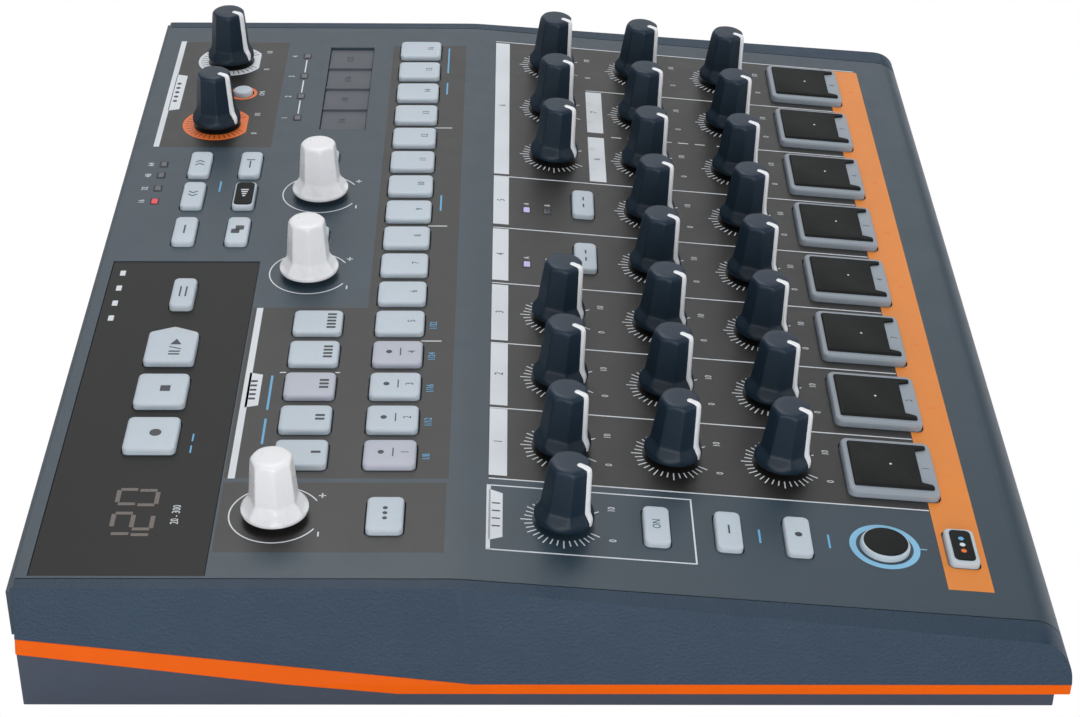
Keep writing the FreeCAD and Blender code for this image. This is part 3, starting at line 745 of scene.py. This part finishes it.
key_builders = {
    "step_keys_1_8": lambda bm: step_keys(bm, 0),
    "step_keys_9_16": lambda bm: step_keys(bm, 8),
    "mode_keys": mode_keys,
    "transport_keys": transport_keys,
    "edit_keys": edit_keys,
    "tap_and_track_keys": tap_and_track_keys,
    "type_keys": type_keys,
    "function_keys": function_keys,
    "shift_key": shift_key,
    "color_key": color_key,
}
for group, build in key_builders.items():
    bm = bmesh.new()
    build(bm)
    make("finish_" + group, bm, key_materials, group, "key_rubber", (group,))


# Pads

PAD_SHOULDER = 1.15
PAD_EDGE = 0.75
PAD_TOP_SIZE = (18.6, 20.2)
TAB_FRONT_HALF = 8.0
TAB_REAR_HALF = 7.1
TAB_DEPTH = 2.9


def pad_outline(inset):
    """Outline of the pad's black top, with a label tab cut into its front edge."""
    w, h = PAD_TOP_SIZE[0] / 2 - inset, PAD_TOP_SIZE[1] / 2 - inset
    foot, head = TAB_FRONT_HALF - inset * 0.4, TAB_REAR_HALF - inset * 0.4
    rear = TAB_DEPTH - h
    return [(-w, -h), (-foot, -h), (-head, rear), (head, rear), (foot, -h), (w, -h), (w, h), (-w, h)]


def pad_mesh(number):
    """Pale frame with a soft edge, a black top in it and a plain number on its tab."""
    bm = bmesh.new()
    here = Matrix.Identity(4)

    def frame_ring(inset, z):
        width = PAD_WIDTH - 2 * inset
        return (rectangle(width, width, PAD_CORNER - inset), z)

    rings = [frame_ring(0.0, KEY_FOOT), frame_ring(0.0, PAD_SHOULDER)]
    for k in range(1, 5):
        a = math.pi / 2 * k / 4
        rings.append(frame_ring(PAD_EDGE * (1 - math.cos(a)), PAD_SHOULDER + PAD_EDGE * math.sin(a)))
    loft(bm, rings, here, 0)
    top = [(0.0, 0.5, 1.5), (0.0, 0.5, 2.25), (0.12, 0.45, 2.45), (0.4, 0.35, 2.58)]
    loft(bm, [(polygon(pad_outline(inset), corner, 4), z) for inset, corner, z in top], here, 1)
    slab(bm, circle(0.32, 16), 2.5, 2.6, here, 2)
    glyphs(bm, str(number), 0, 0, 2.5, 3, matrix=Matrix.Translation((0, -9.2, 1.885)))
    return bm


for i, x in enumerate(CHANNELS):
    name = "pad_%d" % (i + 1)
    bm = pad_mesh(i + 1)
    bmesh.ops.transform(bm, matrix=panel(x, PAD_Y), verts=bm.verts)
    make("finish_" + name, bm, ("pad_frame", "pad_top", "white", "ink"), name, "pad_rubber", (name,))


# Print on the panel

INK_TOP = 0.05
HEADERS = [(-104.8, -76.1), (-74.4, -45.5), (-43.8, -15.6), (-13.1, 15.1), (17.9, 46.0), (47.8, 136.7)]
HEADER_YS = (8.3, 12.8)
LOWER_HEADERS = [(47.8, 75.8), (79.0, 106.4)]
LOWER_HEADER_YS = (-20.9, -15.9)
DIVIDER_X0 = -106.2
DIVIDER_HALF = 0.2
DIVIDER_FRONT = -96.0
DIVIDER_REAR = 13.0
SHORT_DIVIDERS = {6: -56.0, 7: -15.9}
METRONOME_FRAME = [
    (-134.5, -134.1, -36.5, 13.1), (-109.2, -108.8, -36.5, 13.1),
    (-134.5, -108.8, -36.7, -36.3), (-134.5, -108.8, 12.2, 13.2),
]
METRONOME_TAB = (-120.7, 10.9)
MODE_TAB_X = -69.0
OUTPUT_TAB_X = 98.8
RING_CUT = 9.3


def dial_scale(bm, x, y, half, inner, end_of, z0, z1):
    """Thin lines round a knob, one each ten degrees, from an inner radius to one that follows the angle."""
    for degrees in range(-150, 151, 10):
        outer = end_of(degrees)
        turned = panel(x, y) @ Matrix.Rotation(math.radians(-degrees), 4, "Z")
        slab(bm, [(-half, inner), (half, inner), (half, outer), (-half, outer)], z0, z1, turned)


def line_end(degrees):
    if degrees % 90 == 0:
        return 10.3
    return 10.0 if degrees % 30 == 0 else 9.5


def arc_band(bm, x, y, inner, outer, start, sweep, material=0, chord=99.0):
    """Printed part of a ring, from a start angle through a sweep, in degrees, cut straight at the front."""
    count = max(8, int(sweep / 4))
    base = panel(x, y)
    rows = []
    for i in range(count + 1):
        a = math.radians(start + sweep * i / count)
        c, s = math.cos(a), math.sin(a)
        far = min(outer, chord / -s) if s < -0.2 else outer
        section = ((inner, PRINT_ROOT), (far, PRINT_ROOT), (far, PRINT), (inner, PRINT))
        rows.append([bm.verts.new(base @ Vector((r * c, r * s, z))) for r, z in section])
    closed = sweep >= 360
    if closed:
        for v in rows[-1]:
            bm.verts.remove(v)
        rows[-1] = rows[0]
    for p, q in zip(rows, rows[1:]):
        for k in range(4):
            bm.faces.new((p[k], q[k], q[(k + 1) % 4], p[(k + 1) % 4])).material_index = material
    if not closed:
        bm.faces.new(rows[0]).material_index = material
        bm.faces.new(rows[-1][::-1]).material_index = material


def tab(bm, x, y, front_half, rear_half, front, rear):
    """Solid label tab that widens toward the rear."""
    outline = [(-front_half, front), (front_half, front), (rear_half, rear), (-rear_half, rear)]
    slab(bm, outline, PRINT_ROOT, PRINT, panel(x, y))


def upright_line(bm, x, y0, y1):
    bar(bm, x - DIVIDER_HALF, x + DIVIDER_HALF, y0, y1)


def end_numbers(bm, x, y, right=6.4):
    """Numbers at the two ends of a knob's scale."""
    glyphs(bm, "0", x - 6.0, y, 2.6)
    glyphs(bm, "10", x + right, y, 2.6)


def row_of(bm, outline, x, y, offsets):
    for dx in offsets:
        slab(bm, outline, 0.0, INK_TOP, panel(x + dx, y))


def print_encoder(bm, x, y):
    arc_band(bm, x, y, 10.85, 11.2, -60, 300)
    for side in (-1, 1):
        bar(bm, x + side * 7.6 - 0.9, x + side * 7.6 + 0.9, y - 10.9, y - 10.55)
    bar(bm, x + 7.45, x + 7.75, y - 11.6, y - 9.85)


def print_channels(bm):
    for k in range(9):
        upright_line(bm, DIVIDER_X0 + CHANNEL_PITCH * k, DIVIDER_FRONT, SHORT_DIVIDERS.get(k, DIVIDER_REAR))
    for k in range(6):
        upright_line(bm, 76.8, -26.4 - 5.2 * k, -23.2 - 5.2 * k)
    upright_line(bm, 137.8, -106.0, -95.0)
    for x0, x1 in HEADERS:
        bar(bm, x0, x1, *HEADER_YS)
    for x0, x1 in LOWER_HEADERS:
        bar(bm, x0, x1, *LOWER_HEADER_YS)
    for i, x in enumerate(CHANNELS):
        for y in KNOB_ROWS:
            if y != KNOB_ROWS[0] or i not in TYPE_CHANNELS:
                end_numbers(bm, x, y - 11.8)


def print_metronome(bm):
    for x0, x1, y0, y1 in METRONOME_FRAME:
        bar(bm, x0, x1, y0, y1)
    tab(bm, *METRONOME_TAB, 8.6, 10.1, -1.6, 1.8)
    end_numbers(bm, METRONOME_X, KNOB_ROWS[0] - 11.8, 6.3)


def print_sequencer(bm):
    for x in (75.3, 15.1, -45.7):
        upright_line(bm, x, 25.9, 31.3)
    upright_line(bm, -60.9, 51.8, 53.0)
    upright_line(bm, -60.9, 65.8, 67.4)
    bar(bm, -107.5, -29.4, 74.5, 76.2)
    tab(bm, MODE_TAB_X, 73.4, 7.0, 8.0, -1.7, 1.7)
    for x0, x1 in ((84.6, 93.4), (99.0, 107.4), (113.2, 122.0)):
        bar(bm, x0, x1, 73.8, 74.2)
    for i, x in enumerate((81.6, 96.2, 110.3, 124.8)):
        glyphs(bm, str(i + 1), x, 77.9, 2.7)
    for i, x in enumerate((28.9, 36.6, 44.5, 51.3)):
        glyphs(bm, str(16 * (i + 1)), x, 115.2, 2.6)
    for x in (-3.5, 27.2):
        glyphs(bm, "A", x + 3.6, 3.1, 2.3)
        glyphs(bm, "B", x + 3.6, -3.0, 2.3)


def print_output(bm):
    arc_band(bm, VOLUME_X, REAR_KNOB_Y, 7.4, 10.6, 0, 360, chord=RING_CUT)
    bar(bm, 62.6, 135.6, 114.4, 116.1)
    tab(bm, OUTPUT_TAB_X, 112.9, 11.5, 12.5, -1.7, 1.7)
    for x in (DISTORTION_X, VOLUME_X):
        end_numbers(bm, x, 86.4)
    glyphs(bm, "ON", OUTPUT_KEY[0], 86.3, 2.4)


white = bmesh.new()
for name, x, y in scaled_knobs:
    dial_scale(white, x, y, 0.16, 7.5, line_end, PRINT_ROOT, PRINT)
for name, x, y in encoders:
    print_encoder(white, x, y)
print_channels(white)
print_metronome(white)
print_sequencer(white)
print_output(white)
make("print_white", white, ("white",), sharp=30)

orange = bmesh.new()
arc_band(orange, DISTORTION_X, REAR_KNOB_Y, 7.2, 10.6, 0, 360, chord=RING_CUT)
arc_band(orange, *OUTPUT_KEY, 3.4, 4.4, 0, 360)
make("print_orange", orange, ("orange",), sharp=30)

blue = bmesh.new()
for x, text in zip(STEPS, ("1/8", "1/12", "1/16", "1/24", "1/32")):
    glyphs(blue, text, x, 28.2, 2.7)
for x0, x1 in ((-93.0, -82.0), (-78.0, -62.4)):
    bar(blue, x0, x1, 68.9, 69.5)
for y in (-52.4, -69.2):
    bar(blue, FUNCTION_X - 2.6, FUNCTION_X + 2.6, y - 0.25, y + 0.25)
for x0, x1 in ((24.0, 33.0), (98.0, 106.0), (113.0, 131.0)):
    bar(blue, x0, x1, 27.8, 28.3)
bar(blue, 34.8, 41.0, 93.0, 93.5)
arc_band(blue, *SHIFT, 7.0, 8.6, 0, 360, 1)
bar(blue, SHIFT[0] - 0.15, SHIFT[0] + 0.15, -93.0, -91.3, material=1)
make("print_blue", blue, ("blue", "ring_blue"), sharp=30)

ink = bmesh.new()
for i, (x0, x1) in enumerate(HEADERS):
    glyphs(ink, str(i + 1), (x0 + x1) / 2, 10.5, 3.2, z=0.02)
for i, (x0, x1) in enumerate(LOWER_HEADERS):
    glyphs(ink, str(i + 6), (x0 + x1) / 2, -18.4, 3.0, z=0.02)
for x in (DISTORTION_X, VOLUME_X):
    dial_scale(ink, x, REAR_KNOB_Y, 0.14, 7.6, lambda degrees: 9.8, 0.0, INK_TOP)
row_of(ink, rectangle(0.9, 1.7, 0.2, 2), MODE_TAB_X, 73.6, (-4, -2, 0, 2, 4))
row_of(ink, circle(0.7, 16), OUTPUT_TAB_X, 113.2, (-6, -3, 0, 3, 6))
row_of(ink, dash(0.5, 2.0), *METRONOME_TAB, (-4.5, -1.5, 1.5, 4.5))
for i, x in enumerate(CHANNELS):
    glyphs(ink, str(i + 1), x, -103.6, 2.4, 1)
make("print_ink", ink, ("ink", "orange"), sharp=30)

# Lamps: a dark surround with a clear or a lit lens

surround, clear, red, lilac = range(4)
TYPE_LAMP_XS = (27.2, -3.5)
LENGTH_LAMPS = [(51.3, clear), (44.5, clear), (36.6, clear), (28.9, red)]
STRIP_LAMP_XS = (124.8, 110.3, 96.2, 81.6)
lamps = [(x, y, material) for x in TYPE_LAMP_XS for y, material in ((3.1, lilac), (-3.0, clear))]
lamps += [(x, 111.4, material) for x, material in LENGTH_LAMPS]
lamps += [(x, 74.0, clear) for x in STRIP_LAMP_XS]
lamp = bmesh.new()
for x, y, material in lamps:
    slab(lamp, rectangle(3.6, 2.6, 0.3, 3), PRINT_ROOT, 0.04, panel(x, y), surround)
    lens = rectangle(2.8, 1.8, 0.25, 3)
    loft(lamp, [(lens, 0.0), (lens, 0.12), (rectangle(2.5, 1.5, 0.2, 3), 0.22)], panel(x, y), material)
make("lamps", lamp, ("groove", "led", "led_red", "led_lilac"), "case", "window", sharp=30)

# Dim digits and small print on the window

SEGMENTS = {"0": "abcdef", "1": "bc", "2": "abged"}
DIGITS = (("1", -132.4), ("2", -124.4), ("0", -114.9))
DISPLAY_Y = 97.0
DIGIT_HALF_WIDTH = 2.9
DIGIT_HALF_HEIGHT = 4.7
SEGMENT_HALF = 0.55
SEGMENT_GAP = 0.3
DIGIT_LEAN = 0.08


def segment_bars():
    """Box of each of the seven segments round a digit's middle."""
    w, h, t, g = DIGIT_HALF_WIDTH, DIGIT_HALF_HEIGHT, SEGMENT_HALF, SEGMENT_GAP
    end = w - 0.5
    return {
        "a": (-end, end, h - t, h + t), "g": (-end, end, -t, t), "d": (-end, end, -h - t, -h + t),
        "b": (w - t, w + t, g, h - g), "c": (w - t, w + t, -h + g, -g),
        "f": (-w - t, -w + t, g, h - g), "e": (-w - t, -w + t, -h + g, -g),
    }


def on_window(x, y, z=WINDOW_TOP):
    return Matrix.Translation((x, y, z))


digit = bmesh.new()
for text, cx in DIGITS:
    for part in SEGMENTS[text]:
        x0, x1, y0, y1 = segment_bars()[part]
        middle_y = (y0 + y1) / 2
        x = cx + (x0 + x1) / 2 + DIGIT_LEAN * middle_y
        bar(digit, x0, x1, y0, y1, on_window(x, DISPLAY_Y + middle_y))
make("display_digits", digit, ("digit",), "case", "window", sharp=30)

window_print = bmesh.new()
for x in (-11.1, -19.0, -26.8, -34.4):
    slab(window_print, rectangle(2.6, 1.5, 0.2, 3), PRINT_ROOT, PRINT, on_window(x, 115.0))
glyphs(window_print, "20 - 300", 0, 0, 2.8, matrix=on_window(-121.8, 87.0, WINDOW_TOP - 0.01))
for x in (-95.0, -90.0):
    slab(window_print, dash(3.2, 0.4), PRINT_ROOT, PRINT, on_window(x, 86.6), 1)
make("window_print", window_print, ("white", "blue"), "case", "window", sharp=30)

# Legends on the four fields of the touch strip

STRIP_X0 = 74.1
STRIP_FIELD = 57.4 / 4
strip = bmesh.new()
for i, text in enumerate(("1/4", "1/8", "1/16", "1/32")):
    x = STRIP_X0 + STRIP_FIELD * (i + 0.5)
    glyphs(strip, text, 0, 0, 2.8, matrix=Matrix.Translation((x, 60.0, STRIP_FIELD_TOP)))
make("strip_print", strip, ("groove",), "case", "strip", sharp=30)

# Nuts of the rear sockets: bore radius, outer radius and places

SOCKET_Z = 15.4
NUT_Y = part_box("rear_panel")[1].y / MM
NUT_HEIGHT = 1.4
NUT_EDGE = 1.62
NUT_SIDES = 36
NUTS = [(3.25, 5.4, (-116, -94)), (1.85, 3.3, (-74, -60, -46, -32, -12, 2))]


def add_nut(bm, x, inner, outer):
    base = Matrix.Translation((x, NUT_Y, SOCKET_Z)) @ Matrix.Rotation(math.radians(-90), 4, "X")
    section = ((inner, 0.0), (outer, 0.0), (outer, NUT_HEIGHT), (outer - 0.3, NUT_EDGE), (inner, NUT_EDGE))
    rows = []
    for i in range(NUT_SIDES):
        a = 2 * math.pi * i / NUT_SIDES
        c, s = math.cos(a), math.sin(a)
        rows.append([bm.verts.new(base @ Vector((r * c, r * s, z))) for r, z in section])
    for i, p in enumerate(rows):
        q = rows[(i + 1) % NUT_SIDES]
        for k in range(5):
            bm.faces.new((p[k], q[k], q[(k + 1) % 5], p[(k + 1) % 5]))


rear = bmesh.new()
for inner, outer, xs in NUTS:
    for x in xs:
        add_nut(rear, x, inner, outer)
make("socket_nuts", rear, ("nut",), "case", "socket", sharp=30)

# Camera, matched to the photo: place in metres, angles in degrees, lens in millimetres

CAMERA_PLACE = (-0.572951, 0.00663, 0.375214)
CAMERA_AZIMUTH, CAMERA_ELEVATION, CAMERA_ROLL = -0.749, 33.245, 0.551
CAMERA_LENS = 78.866
azimuth, elevation, roll = (math.radians(a) for a in (CAMERA_AZIMUTH, CAMERA_ELEVATION, CAMERA_ROLL))
level = Vector((math.cos(azimuth), math.sin(azimuth), 0)) * math.cos(elevation)
look = level - Vector((0, 0, math.sin(elevation)))
right = look.cross(Vector((0, 0, 1))).normalized()
up = right.cross(look)
right, up = right * math.cos(roll) + up * math.sin(roll), up * math.cos(roll) - right * math.sin(roll)
camera_data = bpy.data.cameras.new("camera")
camera_data.sensor_width = 36.0
camera_data.lens = CAMERA_LENS
camera_data.clip_start = 0.01
camera_data.clip_end = 50.0
camera = bpy.data.objects.new("camera", camera_data)
bpy.context.scene.collection.objects.link(camera)
camera.matrix_world = Matrix.Translation(CAMERA_PLACE) @ Matrix((right, up, -look)).transposed().to_4x4()
bpy.context.scene.camera = camera

# Floor, white to the camera, and a pale grey for all other light

FLOOR_HALF = 6.0
FLOOR_DROP = 0.0002
bm = bmesh.new()
bmesh.ops.create_grid(bm, x_segments=8, y_segments=8, size=FLOOR_HALF)
floor_mesh = bpy.data.meshes.new("floor")
bm.to_mesh(floor_mesh)
bm.free()
floor = bpy.data.objects.new("floor", floor_mesh)
bpy.context.scene.collection.objects.link(floor)
floor.location = (0, 0, -FLOOR_DROP)
floor_mat = bpy.data.materials.new("floor_white")
floor_mat.use_nodes = True
n, l = links(floor_mat)
shader = n["Principled BSDF"]
set_input(shader, "Base Color", (0.86, 0.86, 0.87, 1))
set_input(shader, "Roughness", 0.6)
glow = n.new("ShaderNodeEmission")
set_input(glow, "Strength", 1.0)
blend = n.new("ShaderNodeMixShader")
l.new(n.new("ShaderNodeLightPath").outputs["Is Camera Ray"], blend.inputs[0])
l.new(shader.outputs[0], blend.inputs[1])
l.new(glow.outputs[0], blend.inputs[2])
l.new(blend.outputs[0], n["Material Output"].inputs[0])
floor_mesh.materials.append(floor_mat)

# Light: a dim even surround and five soft boxes, with places and sizes in metres and power in watts

world = bpy.data.worlds.new("studio")
bpy.context.scene.world = world
world.use_nodes = True
background = world.node_tree.nodes["Background"]
set_input(background, "Color", (0.9, 0.94, 1.0, 1))
set_input(background, "Strength", 0.22)


def area_light(name, place, target, size, power):
    data = bpy.data.lights.new(name, "AREA")
    data.shape = "RECTANGLE"
    data.size, data.size_y = size
    data.energy = power
    light = bpy.data.objects.new(name, data)
    bpy.context.scene.collection.objects.link(light)
    light.location = place
    light.rotation_mode = "QUATERNION"
    light.rotation_quaternion = (Vector(target) - Vector(place)).to_track_quat("-Z", "Y")


area_light("soft_far", (0.72, 0.12, 1.3), (0, 0, 0), (0.7, 0.7), 7.5)
area_light("soft_top", (-0.15, 0.25, 1.6), (0, 0, 0), (1.4, 1.2), 4.8)
area_light("soft_low", (1.6, 0.1, 0.78), (0, 0, 0), (2.4, 0.95), 6.4)
area_light("soft_near", (-1.7, 0.1, 0.5), (0, 0, 0.02), (2.0, 0.8), 21)
area_light("soft_front", (0.3, -1.7, 0.5), (0, 0, 0.02), (1.6, 0.7), 10)

scene = bpy.context.scene
scene.view_settings.view_transform = "Standard"
